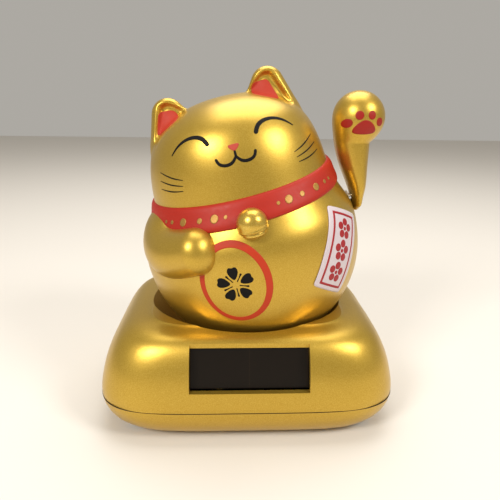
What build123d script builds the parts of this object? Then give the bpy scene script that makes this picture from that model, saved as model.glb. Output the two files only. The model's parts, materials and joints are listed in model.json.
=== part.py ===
"""Rocking, beckoning cat figurine on a cushion base with a light cell.

Millimetres, +Z up, origin at the centre of the base's flat underside, front towards -Y.
The cat is a hollow pendulum: it hangs on a fore-and-aft axle held by a yoke that rises out of
the base, and it is drawn leaning towards -X, the pose the part is stored in.  The cat's own
pieces are drawn upright about the axle and then leant over by in_cat().
"""
from build123d import *
import math
import os

os.makedirs("parts", exist_ok=True)

# ---- driving dimensions ------------------------------------------------------------------
LEAN = 14.5             # stored lean of the cat about the axle, degrees towards -X
PIVOT_Z = 59.0          # height of the axle

BASE_HALF_W = 46.3      # cushion, half width and half depth at its widest level
BASE_HALF_D = 37.0
BASE_SQUARENESS = 5.0   # superellipse exponent of the cushion seen from above
BASE_WALL = 1.8
SEAM_Z = 11.0           # joint between the upper and the lower base shell
# cushion profile: height, fraction of the widest section
CUSHION = ((0, 0.80), (1.6, 0.872), (4, 0.935), (7.5, 0.982), (12, 1.0), (17, 0.985),
           (22, 0.955), (26, 0.915), (29, 0.868), (31.4, 0.79), (33, 0.66))

DISH_CENTRE_Z = 52.0    # hollow that the cat's round underside rocks in
DISH_RADII = (37.7, 32.8, 36.3)
DISH_WALL = 1.6

WINDOW_W = 34.8         # opening for the light cell
WINDOW_Z = (17.2, 28.9)
WINDOW_STEP = (28.9, 30.4)   # shallow step above the opening
WINDOW_STEP_Y = -30.9
CELL_SIZE = (35.6, 1.1, 13.4)
CELL_AT = (0, -30.9, 23.4)
CELL_SLOPE = 18.0       # cell leans back with the front wall, degrees

BODY_DEPTH = 0.9        # the cat is this much shallower than it is wide
BODY_WALL = 1.5
BELLY_R = 35.0
BELLY_Z = -7.0          # belly centre below the axle
# cat outline above the belly: half width, height above the axle
SHOULDER_TO_CROWN = ((31.6, 5.5), (28.6, 11), (27.5, 15.5), (27.3, 20), (26.4, 25.5),
                     (23.3, 31.5), (17.0, 36.8), (8.5, 39.8))
CROWN_Z = 40.5
EAR_RADII = (9.2, 6.0, 14.6)
EAR_AT = (15.2, 30.5)   # ear centre, beside and above the axle
EAR_SPLAY = 5.0
REST_SHOULDER = (-25.2, -15.0, 0.5)   # arm moulded against the belly
REST_SHOULDER_R = 8.6
REST_PAW = (-17.0, -26.5, 0.4)
REST_PAW_R = 7.5
BODY_MOUTH = (35.0, 25.2, 6.0)   # opening under the cat: width, depth, corner radius

COLLAR_Z = 9.8
COLLAR_HEIGHT = 5.6
COLLAR_PROUD = 1.3
COLLAR_DROP = 5.0       # the collar dips towards the front, degrees
BELL_R = 4.3
BELL_AT = (1.9, -29.4, 6.4)
LABEL_SIZE = (15.0, 27.5)
LABEL_TURN = 40.5       # label's place on the cat's left flank, degrees forward of +X
LABEL_DIP = 6.0
LABEL_TILT = 30.0        # its foot swings towards the front
LABEL_GAP = 0.12         # layer of glue behind it
STICKER = 0.25

AXLE_R = 1.0
RUNNING = 0.05          # radial clearance of a shaft in its bearing
POST_Y = (9.0, 11.4)
POST_HALF_W = 3.0
FRAME_HALF_D = 8.4      # rocker frame's bearing tube, half length
BUSH_R = 2.0

ARM_IN_X = 35.5         # inner face of the raised arm
# raised arm: height, outer x, half depth
ARM_SECTIONS = ((-5.6, 36.3, 2.4), (-4.4, 36.9, 4.3), (-2, 38.0, 5.6), (2, 39.9, 6.3),
                (7, 41.9, 6.4), (12, 43.3, 6.3), (18, 44.6, 6.0))
PAW_R = 8.1
PAW_AT = (41.9, -0.8, 24.2)
ARM_WALL = 1.3
SHAFT_R = 1.2
CRANK_R = 14.0          # crank radius equals the slot's distance from the axle, for 1 to 1
SLOT_X = 14.0
CRANK_PIN_R = 0.8

COIL_R = 7.4
MAGNET_R = 4.0
WEIGHT = (24.0, 14.0, 8.0)
WEIGHT_SHIFT = -4.0     # set to the cat's right to balance the raised arm
BOARD = (32.0, 32.0, 1.2)
BOARD_AT = (0, -6, 4.6)


# ---- helpers -----------------------------------------------------------------------------
def span(x, y, z):
    """Box given by its low and high value on each axis."""
    size = [high - low for low, high in (x, y, z)]
    centre = [(high + low) / 2 for low, high in (x, y, z)]
    return Pos(*centre) * Box(*size)


def rod(radius, start, end):
    """Round bar between two points."""
    start, end = Vector(*start), Vector(*end)
    return Plane(start, z_dir=end - start) * extrude(Circle(radius), (end - start).length)


def screw(radius, length, head_radius, head_height):
    """Pan-head screw pointing down, underside of the head at the origin."""
    head = Pos(0, 0, head_height / 2) * Cylinder(head_radius, head_height)
    slot = span((-head_radius, head_radius), (-0.25, 0.25), (head_height * 0.5, head_height + 1))
    return head - slot + Pos(0, 0, -length / 2) * Cylinder(radius, length)


def in_cat(shape):
    """Put a piece drawn upright about the axle into the leaning cat."""
    return Pos(0, 0, PIVOT_Z) * Rot(0, -LEAN, 0) * shape


def ellipsoid(radii, centre):
    return Pos(*centre) * scale(Sphere(1), by=radii)


def largest(shape):
    """Biggest solid of a cut, without the slivers."""
    return max(shape.solids(), key=lambda solid: solid.volume)


def save(name, shape):
    export_step(shape, f"parts/{name}.step")


# ---- base shells -------------------------------------------------------------------------
def cushion(inset):
    """Cushion solid, every face moved in by inset."""
    top = CUSHION[-1][0]
    sections = []
    for z, share in CUSHION:
        half_w = BASE_HALF_W * share - inset
        half_d = BASE_HALF_D * share - inset
        points = []
        for i in range(32):
            turn = math.tau * i / 32
            c, s = math.cos(turn), math.sin(turn)
            reach = (abs(c / half_w) ** BASE_SQUARENESS + abs(s / half_d) ** BASE_SQUARENESS)
            reach **= -1 / BASE_SQUARENESS
            points.append((reach * c, reach * s))
        level = inset + z * (top - 2 * inset) / top
        sections.append(Pos(0, 0, level) * make_face(Spline(*points, periodic=True)))
    return loft(sections)


OUTER_CUSHION = cushion(0)
INNER_CUSHION = cushion(BASE_WALL)
UPPER_SPACE = span((-60, 60), (-60, 60), (SEAM_Z, 60))
LOWER_SPACE = span((-60, 60), (-60, 60), (-10, SEAM_Z))
BASE_BOSSES = [(x, y) for x in (-35, 35) for y in (-26, 26)]
YOKE_BOSSES = [(-12, -10), (12, 10)]
BOARD_BOSSES = [(-13, 7), (13, 7)]
YOKE_PLATE_Z = (11.6, 13.6)


def base_upper_shell():
    dish_skin = ellipsoid(tuple(r + DISH_WALL for r in DISH_RADII), (0, 0, DISH_CENTRE_Z))
    shell = (OUTER_CUSHION - INNER_CUSHION) & UPPER_SPACE
    shell += dish_skin & OUTER_CUSHION
    for x, y in BASE_BOSSES:
        shell += rod(3.0, (x, y, SEAM_Z), (x, y, 30)) & OUTER_CUSHION
    for x, y in YOKE_BOSSES:
        shell += rod(2.6, (x, y, YOKE_PLATE_Z[1]), (x, y, 18.6))
    shell -= ellipsoid(DISH_RADII, (0, 0, DISH_CENTRE_Z))
    for x, y in BASE_BOSSES:
        shell -= rod(1.1, (x, y, SEAM_Z - 1), (x, y, 22))
    for x, y in YOKE_BOSSES:
        shell -= rod(0.8, (x, y, 10), (x, y, 17.6))
    for side in (-1, 1):
        y = sorted((side * (POST_Y[0] - 0.4), side * (POST_Y[1] + 0.4)))
        shell -= span((-POST_HALF_W - 0.6, POST_HALF_W + 0.6), y, (10, 20))
    shell -= span((-WINDOW_W / 2, WINDOW_W / 2), (-40, -29.5), WINDOW_Z)
    shell -= span((-WINDOW_W / 2, WINDOW_W / 2), (-40, WINDOW_STEP_Y), WINDOW_STEP)
    return shell - on_cell(Box(*[side + 0.1 for side in CELL_SIZE]))


def base_lower_shell():
    shell = (OUTER_CUSHION - INNER_CUSHION) & LOWER_SPACE
    for x, y in BASE_BOSSES:
        shell += rod(3.2, (x, y, 1.5), (x, y, SEAM_Z)) & OUTER_CUSHION
        shell -= rod(1.5, (x, y, -1), (x, y, SEAM_Z + 1))
        shell -= rod(2.8, (x, y, -1), (x, y, 4.0))
    for x, y in BOARD_BOSSES + [(0, -19)]:
        shell += rod(2.2, (x, y, 1.5), (x, y, BOARD_AT[2] - BOARD[2] / 2))
    for x, y in BOARD_BOSSES:
        shell -= rod(0.7, (x, y, 1.9), (x, y, 6))
    return shell


def base_screws():
    one = Rot(180, 0, 0) * screw(1.1, 14, 2.4, 1.6)
    return Compound([Pos(x, y, 4.0) * one for x, y in BASE_BOSSES])


# ---- light cell and electronics ----------------------------------------------------------
def on_cell(shape):
    return Pos(*CELL_AT) * Rot(-CELL_SLOPE, 0, 0) * shape


def solar_cell():
    return on_cell(Box(*CELL_SIZE))


def cell_retainer():
    """Frame glued behind the cell."""
    frame = Pos(0, 1.15, -1.6) * Box(30, 1.2, 8)
    return on_cell(frame - Pos(0, 1.15, -1.6) * Box(22, 3, 3.4))


def circuit_board():
    board = Pos(*BOARD_AT) * Box(*BOARD)
    for x, y in BOARD_BOSSES:
        board -= rod(0.95, (x, y, 0), (x, y, 10))
    return board


BOARD_TOP = BOARD_AT[2] + BOARD[2] / 2


def board_screws():
    return Compound([Pos(x, y, BOARD_TOP) * screw(0.7, 3.0, 1.6, 1.0) for x, y in BOARD_BOSSES])


def coil_bobbin():
    height = 8.0
    bobbin = rod(2.5, (0, 0, BOARD_TOP), (0, 0, BOARD_TOP + height))
    for z in (BOARD_TOP, BOARD_TOP + height - 0.8):
        bobbin += rod(8.0, (0, 0, z), (0, 0, z + 0.8))
    return bobbin - rod(1.5, (0, 0, 0), (0, 0, 20))


def drive_coil():
    low, high = BOARD_TOP + 0.8, BOARD_TOP + 7.2
    return rod(COIL_R, (0, 0, low), (0, 0, high)) - rod(2.5, (0, 0, low - 1), (0, 0, high + 1))


def driver_chip():
    """Drop of black resin over the bare chip."""
    return ellipsoid((3.6, 3.6, 1.5), (9, -17, BOARD_TOP)) & span((0, 20), (-30, 0), (BOARD_TOP, 9))


def storage_capacitor():
    can = rod(3.15, (-9.5, -16.5, BOARD_TOP + 0.8), (-9.5, -16.5, BOARD_TOP + 6.4))
    return can + Pos(-9.5, -16.5, BOARD_TOP + 0.4) * Box(6.6, 6.6, 0.8)


def board_chips():
    places = ((-1.5, -14), (2.0, -14), (2.0, -18))
    return Compound([Pos(x, y, BOARD_TOP + 0.3) * Box(2.0, 1.25, 0.6) for x, y in places])


def cell_lead(side):
    """Insulated wire from the back of the cell down to the board."""
    route = [(side * 16.2, -30.9, 21.6), (side * 16.2, -27.4, 20.4), (side * 15.2, -24.6, 14.6),
             (side * 14.2, -21.2, 10.4), (side * 14.2, -20.4, BOARD_TOP + 0.1)]
    path = FilletPolyline(*route, radius=1.6)
    return sweep(Plane(path @ 0, z_dir=path % 0) * Circle(0.45), path)


# ---- yoke that carries the cat -----------------------------------------------------------
def pivot_yoke():
    """U-shaped yoke: plate round the coil, two posts, and a slotted tongue for the arm crank."""
    yoke = span((-15, 15), (-13, 13), YOKE_PLATE_Z)
    yoke -= rod(8.6, (0, 0, 5), (0, 0, 20))
    for side in (-1, 1):
        low, high = sorted((side * POST_Y[0], side * POST_Y[1]))
        yoke += span((-POST_HALF_W, POST_HALF_W), (low, high), (YOKE_PLATE_Z[0], PIVOT_Z))
        yoke += rod(POST_HALF_W, (0, low, PIVOT_Z), (0, high, PIVOT_Z))
    yoke += span((0, SLOT_X + 0.8), POST_Y, (PIVOT_Z - 2.2, PIVOT_Z + 2.2))
    yoke += span((SLOT_X - 0.8, SLOT_X + 0.8), (POST_Y[0], 16.6), (PIVOT_Z - 3.0, PIVOT_Z + 3.0))
    yoke -= span((SLOT_X - 2, SLOT_X + 2), (12.1, 15.2), (PIVOT_Z - 1.35, PIVOT_Z + 1.35))
    yoke -= rod(AXLE_R, (0, -20, PIVOT_Z), (0, 20, PIVOT_Z))
    for x, y in YOKE_BOSSES:
        yoke -= rod(0.95, (x, y, 5), (x, y, 20))
    return yoke


def yoke_screws():
    one = Rot(180, 0, 0) * screw(0.8, 5.6, 1.8, 1.1)
    return Compound([Pos(x, y, YOKE_PLATE_Z[0]) * one for x, y in YOKE_BOSSES])


def pivot_axle():
    return rod(AXLE_R, (0, -13.2, PIVOT_Z), (0, 13.2, PIVOT_Z))


def axle_clips():
    """Push-on rings that hold the axle in the posts."""
    rings = []
    for low, high in ((-12.3, -11.5), (11.5, 12.3)):
        ring = rod(2.2, (0, low, PIVOT_Z), (0, high, PIVOT_Z))
        rings.append(ring - rod(AXLE_R, (0, low - 1, PIVOT_Z), (0, high + 1, PIVOT_Z)))
    return Compound(rings)


# ---- cat shells --------------------------------------------------------------------------
def cat_form(inset):
    """Cat's whole outer form upright about the axle, every face moved in by inset."""
    belly = BELLY_R - inset
    flank = [(belly * math.sin(math.radians(a)), BELLY_Z - belly * math.cos(math.radians(a)))
             for a in (0, 22, 45, 68, 90, 101)]
    upper = [(w - inset, z - inset * max(0, z - 20) / 20) for w, z in SHOULDER_TO_CROWN]
    outline = flank + upper + [(0, CROWN_Z - inset)]
    curve = Spline(*outline, tangents=[(1, 0), (-1, 0)])
    half = make_face(curve + Line(outline[-1], outline[0]))
    form = scale(revolve(Plane.XZ * half, Axis.Z), by=(1, BODY_DEPTH, 1))
    for side in (-1, 1):
        ear = scale(Sphere(1), by=tuple(r - inset for r in EAR_RADII))
        form += Pos(side * EAR_AT[0], 0, EAR_AT[1]) * Rot(0, side * EAR_SPLAY, 0) * ear
    if inset == 0:
        form += resting_arm()
    return form


def resting_arm():
    """Arm moulded against the belly, from the cat's right flank to the paw in front."""
    shoulder, paw = Vector(*REST_SHOULDER), Vector(*REST_PAW)
    reach = (paw - shoulder).length
    cone = Pos(0, 0, reach / 2) * Cone(REST_SHOULDER_R, REST_PAW_R, reach)
    arm = Plane(shoulder, z_dir=paw - shoulder) * cone
    arm += Pos(*REST_SHOULDER) * Sphere(REST_SHOULDER_R)
    return arm + Pos(*REST_PAW) * Sphere(REST_PAW_R)


CAT_OUTER = cat_form(0)
CAT_INNER = cat_form(BODY_WALL)
SHELL_SCREWS = [(0, 24), (-24, -18), (24, -18)]
FRAME_LUGS = [-22, 22]
LUG_Z = 6.5
SHELL_HEAD_Y = 7.0


def shell_half(keep):
    """Thin half of the cat with the opening underneath and the hole for the arm's bush."""
    mouth = Pos(0, 0, -48) * extrude(RectangleRounded(*BODY_MOUTH), 18)
    shell = (CAT_OUTER - CAT_INNER) & keep
    shell -= mouth
    return shell - rod(BUSH_R + 0.2, (28, 0, 0), (40, 0, 0))


def body_front_shell():
    keep = span((-60, 60), (-60, 0), (-60, 60))
    shell = shell_half(keep)
    for x, z in SHELL_SCREWS:
        shell += rod(2.8, (x, -34, z), (x, 0, z)) & CAT_OUTER
        shell -= rod(0.9, (x, -8, z), (x, 1, z))
    for x in FRAME_LUGS:
        shell += rod(2.8, (x, -30, LUG_Z), (x, -2, LUG_Z)) & CAT_OUTER
        shell -= rod(0.8, (x, -9, LUG_Z), (x, 0, LUG_Z))
    return in_cat(shell)


def body_back_shell():
    keep = span((-60, 60), (0, 60), (-60, 60))
    shell = shell_half(keep)
    for x, z in SHELL_SCREWS:
        shell += rod(3.4, (x, 0, z), (x, 34, z)) & CAT_OUTER
        shell -= rod(1.2, (x, -1, z), (x, 40, z))
        shell -= rod(2.5, (x, SHELL_HEAD_Y, z), (x, 40, z))
    return in_cat(shell)


def body_screws():
    one = Rot(-90, 0, 0) * screw(0.9, 13.5, 2.1, 1.4)
    return in_cat(Compound([Pos(x, SHELL_HEAD_Y, z) * one for x, z in SHELL_SCREWS]))


# ---- collar, bell and label --------------------------------------------------------------
def collar_form():
    """Band round the neck that dips towards the front, with the neck cut away."""
    slab = span((-50, 50), (-50, 50), (-COLLAR_HEIGHT / 2, COLLAR_HEIGHT / 2))
    slab = Pos(0, 0, COLLAR_Z) * Rot(COLLAR_DROP, 0, 0) * slab
    return (cat_form(-COLLAR_PROUD) & slab) - CAT_OUTER


COLLAR = collar_form()


def collar_band():
    return in_cat(COLLAR)


def collar_bell():
    bell = Pos(*BELL_AT) * Sphere(BELL_R)
    return in_cat(largest(bell - CAT_OUTER - COLLAR))


def fortune_label():
    facing = Pos(0, 0, BELLY_Z) * Rot(0, 0, -LABEL_TURN) * Rot(0, LABEL_DIP, 0)
    patch = facing * Rot(-LABEL_TILT, 0, 0) * Pos(30, 0, 0) * Box(24, *LABEL_SIZE)
    backing = cat_form(-LABEL_GAP)
    return in_cat(largest((cat_form(-LABEL_GAP - STICKER) & patch) - backing))


# ---- rocker frame, weight and magnet -----------------------------------------------------
FOOT_Z = -29.0


def rocker_frame():
    """Frame that joins the shells to the axle and carries weight, magnet and arm shaft."""
    frame = rod(3.4, (0, -FRAME_HALF_D, 0), (0, FRAME_HALF_D, 0))
    frame += span((-2.5, 2.5), (-6, 6), (-27, 5))
    frame += span((-24.6, 24.6), (-2, 1), (4.8, 9.4))
    frame += span((-2.5, 18.8), (-4.5, 4.5), (4.6, 7.0))
    frame += span((18.5, 21), (-3, 3), (-2.6, 5))
    frame += span((-12, 12), (-7, 7), (FOOT_Z, -27))
    frame -= rod(BUSH_R, (0, -20, 0), (0, 20, 0))
    frame -= rod(SHAFT_R + RUNNING, (15, 0, 0), (24, 0, 0))
    for x in FRAME_LUGS:
        frame -= rod(1.0, (x, -5, LUG_Z), (x, 5, LUG_Z))
    for x in (-8, 8):
        frame -= rod(0.9, (x, 0, -30), (x, 0, -20))
    return in_cat(frame)


def rocker_screws():
    one = Rot(-90, 0, 0) * screw(0.8, 8.5, 1.8, 1.2)
    return in_cat(Compound([Pos(x, 1, LUG_Z) * one for x in FRAME_LUGS]))


def pivot_bushes():
    bushes = []
    for low, high in ((-FRAME_HALF_D, -4.4), (4.4, FRAME_HALF_D)):
        bush = rod(BUSH_R, (0, low, 0), (0, high, 0))
        bushes.append(bush - rod(AXLE_R + RUNNING, (0, low - 1, 0), (0, high + 1, 0)))
    return in_cat(Compound(bushes))


def balance_weight():
    width, depth, height = WEIGHT
    weight = Pos(WEIGHT_SHIFT, 0, FOOT_Z - height / 2) * Box(width, depth, height)
    for x in (-8, 8):
        weight -= rod(0.9, (x, 0, FOOT_Z - 5.4), (x, 0, FOOT_Z + 1))
    return in_cat(weight)


def weight_screws():
    return in_cat(Compound([Pos(x, 0, -27) * screw(0.9, 7.0, 1.9, 1.2) for x in (-8, 8)]))


def drive_magnet():
    bottom = FOOT_Z - WEIGHT[2]
    return in_cat(rod(MAGNET_R, (0, 0, bottom - 4.0), (0, 0, bottom)))


# ---- raised arm --------------------------------------------------------------------------
def arm_form(inset):
    """Raised arm: flat inner face, tapering down to the shoulder, ball-shaped paw on top."""
    sections = []
    for z, outer_x, half_d in ARM_SECTIONS:
        inner_x = ARM_IN_X + inset
        outer_x -= inset
        oval = Ellipse((outer_x - inner_x) / 2, half_d - inset)
        sections.append(Pos((outer_x + inner_x) / 2, 0, z) * oval)
    return loft(sections) + Pos(*PAW_AT) * Sphere(PAW_R - inset)


ARM_SOLID = arm_form(0)
ARM_HOLLOW = Pos(*PAW_AT) * Sphere(PAW_R - ARM_WALL)
ARM_BORE = rod(SHAFT_R, (30, 0, 0), (37.9, 0, 0))


def arm_shell(keep_y):
    keep = span((20, 70), keep_y, (-20, 60))
    return in_cat((ARM_SOLID - ARM_HOLLOW - ARM_BORE) & keep)


def arm_shaft():
    return in_cat(rod(SHAFT_R, (15.4, 0, 0), (37.9, 0, 0)))


def shoulder_bush():
    bush = rod(BUSH_R + 0.2, (31.0, 0, 0), (34.2, 0, 0)) + rod(3.2, (30.0, 0, 0), (31.0, 0, 0))
    return in_cat(bush - rod(SHAFT_R + RUNNING, (29, 0, 0), (36, 0, 0)))


def shaft_clip():
    ring = rod(2.4, (21.2, 0, 0), (22.0, 0, 0)) - rod(SHAFT_R, (20, 0, 0), (24, 0, 0))
    return in_cat(ring)


def arm_crank():
    """Crank on the arm shaft; its pin runs in the slot of the fixed yoke."""
    crank = rod(3.0, (15.4, 0, 0), (17.4, 0, 0)) + span((15.4, 17.4), (0, CRANK_R), (-1.4, 1.4))
    crank += rod(1.4, (15.4, CRANK_R, 0), (17.4, CRANK_R, 0))
    crank += rod(CRANK_PIN_R, (12.5, CRANK_R, 0), (15.4, CRANK_R, 0))
    crank -= rod(SHAFT_R, (10, 0, 0), (20, 0, 0))
    return in_cat(Rot(-LEAN, 0, 0) * crank)


# ---- write every piece -------------------------------------------------------------------
save("base_upper_shell", base_upper_shell())
save("base_lower_shell", base_lower_shell())
save("base_screws", base_screws())
save("solar_cell", solar_cell())
save("cell_retainer", cell_retainer())
save("circuit_board", circuit_board())
save("board_screws", board_screws())
save("coil_bobbin", coil_bobbin())
save("drive_coil", drive_coil())
save("driver_chip", driver_chip())
save("storage_capacitor", storage_capacitor())
save("board_chips", board_chips())
save("cell_lead_red", cell_lead(1))
save("cell_lead_black", cell_lead(-1))
save("pivot_yoke", pivot_yoke())
save("yoke_screws", yoke_screws())
save("pivot_axle", pivot_axle())
save("axle_clips", axle_clips())
save("body_front_shell", body_front_shell())
save("body_back_shell", body_back_shell())
save("body_screws", body_screws())
save("collar_band", collar_band())
save("collar_bell", collar_bell())
save("fortune_label", fortune_label())
save("rocker_frame", rocker_frame())
save("rocker_screws", rocker_screws())
save("pivot_bushes", pivot_bushes())
save("balance_weight", balance_weight())
save("weight_screws", weight_screws())
save("drive_magnet", drive_magnet())
save("arm_front_shell", arm_shell((-20, 0)))
save("arm_back_shell", arm_shell((0, 20)))
save("arm_shaft", arm_shaft())
save("shoulder_bush", shoulder_bush())
save("shaft_clip", shaft_clip())
save("arm_crank", arm_crank())
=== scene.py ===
import json
import math

import bmesh
import bpy
import numpy as np
from mathutils import Matrix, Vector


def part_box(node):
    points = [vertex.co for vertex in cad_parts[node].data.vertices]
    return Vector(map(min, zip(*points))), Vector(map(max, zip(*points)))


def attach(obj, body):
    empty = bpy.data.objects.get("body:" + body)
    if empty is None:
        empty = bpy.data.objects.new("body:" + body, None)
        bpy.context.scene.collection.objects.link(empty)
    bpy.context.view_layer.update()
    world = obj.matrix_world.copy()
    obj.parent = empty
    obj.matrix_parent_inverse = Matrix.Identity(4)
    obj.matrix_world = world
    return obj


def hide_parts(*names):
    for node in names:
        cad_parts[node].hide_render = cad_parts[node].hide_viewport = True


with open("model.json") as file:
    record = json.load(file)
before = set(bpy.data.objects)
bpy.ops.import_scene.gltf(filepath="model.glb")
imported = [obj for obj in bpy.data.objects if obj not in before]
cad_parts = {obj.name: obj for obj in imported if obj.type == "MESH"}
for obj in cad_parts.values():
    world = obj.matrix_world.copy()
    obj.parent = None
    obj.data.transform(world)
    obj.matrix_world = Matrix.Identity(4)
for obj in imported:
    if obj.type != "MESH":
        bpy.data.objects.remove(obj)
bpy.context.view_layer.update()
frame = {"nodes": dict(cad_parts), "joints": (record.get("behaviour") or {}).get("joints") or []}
nodes = frame["nodes"]
scene = bpy.context.scene

# ---- base shells -------------------------------------------------------------------------
# Two injection-moulded ABS shells sprayed with satin pearl gold: a cushion-shaped upper half
# with a dish for the cat and a window for the cell, and a shallow tray closed from below.
METRE = 0.001            # shapes are worked out in mm, and turned to metres with this
GOLD_BODY = "#bb962f"
GOLD_FLECK = "#d2b14c"
FLAKE_MM = 0.22          # pearl flakes, drawn several times their real size so that they show
ORANGE_PEEL_MM = 1.6     # soft ripple that a sprayed coat dries with


def linear(colour):
    """Linear RGBA of an sRGB hex colour: each channel through the sRGB curve."""
    channels = [int(colour[i:i + 2], 16) / 255 for i in (1, 3, 5)]
    return [c / 12.92 if c <= 0.04045 else ((c + 0.055) / 1.055) ** 2.4 for c in channels] + [1.0]


def add(tree, kind, inputs=(), **settings):
    """Adds one shader node: settings are its properties, inputs are (socket, value or output) pairs."""
    node = tree.nodes.new(kind)
    for name, value in settings.items():
        setattr(node, name, value)
    for socket, value in dict(inputs).items():
        if isinstance(value, bpy.types.NodeSocket):
            tree.links.new(value, node.inputs[socket])
        else:
            node.inputs[socket].default_value = value
    return node


def finish_of(name, **surface):
    """New material with a Principled surface whose constants are set straight on its sockets."""
    material = bpy.data.materials.new(name)
    material.use_nodes = True
    tree = material.node_tree
    tree.nodes.clear()
    shader = add(tree, "ShaderNodeBsdfPrincipled")
    for socket, value in surface.items():
        title = socket.replace("_", " ").title().replace("Ior", "IOR")
        shader.inputs[title].default_value = linear(value) if isinstance(value, str) else value
    output = add(tree, "ShaderNodeOutputMaterial", {"Surface": shader.outputs["BSDF"]})
    output.location = (400, 0)
    return material, tree, shader


def grain(tree, size_mm, detail=2.0):
    """Noise in Object coordinates whose blotches are about size_mm across."""
    place = add(tree, "ShaderNodeTexCoord")
    return add(tree, "ShaderNodeTexNoise",
               {"Vector": place.outputs["Object"], "Scale": 1 / (size_mm * METRE), "Detail": detail})


def pearl_gold(name, body=GOLD_BODY, fleck=GOLD_FLECK, roughness=0.36):
    """Satin pearl gold spray on ABS: fine flakes vary the colour and gloss, and the coat ripples."""
    material, tree, shader = finish_of(name, base_color=body, metallic=0.82, roughness=roughness,
                                       coat_weight=0.3, coat_roughness=0.32)
    flakes = grain(tree, FLAKE_MM, 1.0)
    lit = add(tree, "ShaderNodeValToRGB", {"Fac": flakes.outputs["Fac"]})
    lit.color_ramp.elements[0].position = 0.35
    lit.color_ramp.elements[0].color = linear(body)
    lit.color_ramp.elements[1].position = 0.85
    lit.color_ramp.elements[1].color = linear(fleck)
    tree.links.new(lit.outputs["Color"], shader.inputs["Base Color"])
    gloss = add(tree, "ShaderNodeMapRange", {"Value": flakes.outputs["Fac"],
                                             "To Min": roughness - 0.04, "To Max": roughness + 0.05})
    tree.links.new(gloss.outputs["Result"], shader.inputs["Roughness"])
    ripple = grain(tree, ORANGE_PEEL_MM, 1.0)
    peel = add(tree, "ShaderNodeBump", {"Height": ripple.outputs["Fac"], "Strength": 0.05,
                                        "Distance": 0.0002})
    sparkle = add(tree, "ShaderNodeBump", {"Height": flakes.outputs["Fac"], "Strength": 0.06,
                                           "Distance": 0.00005, "Normal": peel.outputs["Normal"]})
    tree.links.new(sparkle.outputs["Normal"], shader.inputs["Normal"])
    return material


def finish_node(name, material):
    """Gives a CAD node its material through its own slots."""
    data = nodes[name].data
    if not data.materials:
        data.materials.append(material)
    for index in range(len(data.materials)):
        data.materials[index] = material


GOLD = pearl_gold("pearl gold spray on moulded ABS")
for name in ("base_upper_shell", "base_lower_shell"):
    finish_node(name, GOLD)

# ---- base seam ---------------------------------------------------------------------------
# The fine line where the upper half sits on the tray is shown by a thin dark band: painted shadow, standing
# in for the shade where light doesn't reach in.
SEAM_Z = 11.0
SEAM_HIGH = 0.14
SEAM_PROUD = 0.08
SEAM_INSIDE = 0.4        # how far the band reaches into the wall
SEAM_SQUARE = 5          # power of the cushion's rounded-square outline
WELD_M = 2e-6            # points nearer than this become one, in metres


def moulded(name, colour, roughness, grain_mm=0.5, **surface):
    """Moulded plastic: one colour, slightly uneven gloss and the fine grain of an etched mould."""
    material, tree, shader = finish_of(name, base_color=colour, roughness=roughness, **surface)
    texture = grain(tree, grain_mm)
    gloss = add(tree, "ShaderNodeMapRange", {"Value": texture.outputs["Fac"],
                                             "To Min": roughness - 0.08, "To Max": roughness + 0.08})
    tree.links.new(gloss.outputs["Result"], shader.inputs["Roughness"])
    bump = add(tree, "ShaderNodeBump", {"Height": texture.outputs["Fac"], "Strength": 0.15,
                                        "Distance": 0.00005})
    tree.links.new(bump.outputs["Normal"], shader.inputs["Normal"])
    return material


def rounded_square(turn, half, power):
    """Radius of a superellipse by azimuth, from its two half widths and its power."""
    across, along = np.abs(np.cos(turn) / half[0]), np.abs(np.sin(turn) / half[1])
    return (across ** power + along ** power) ** (-1 / power)


def painted_seam_shadow():
    """A thin band of painted shadow round the cushion's superellipse outline, closed on all four sides."""
    low, high = (np.array(corner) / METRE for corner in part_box("base_upper_shell"))
    half = (high - low) / 2
    turn = np.linspace(0, 2 * math.pi, 481)
    r = rounded_square(turn, half, SEAM_SQUARE)[:, None]
    lip = np.array([(SEAM_PROUD, -1), (SEAM_PROUD, 1), (-SEAM_INSIDE, 1), (-SEAM_INSIDE, -1),
                    (SEAM_PROUD, -1)])
    r = r + lip[:, 0]
    z = np.broadcast_to(SEAM_Z + lip[:, 1] * SEAM_HIGH / 2, r.shape)
    turn = turn[:, None]
    return np.stack([r * np.cos(turn), r * np.sin(turn), z], axis=-1)


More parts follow.
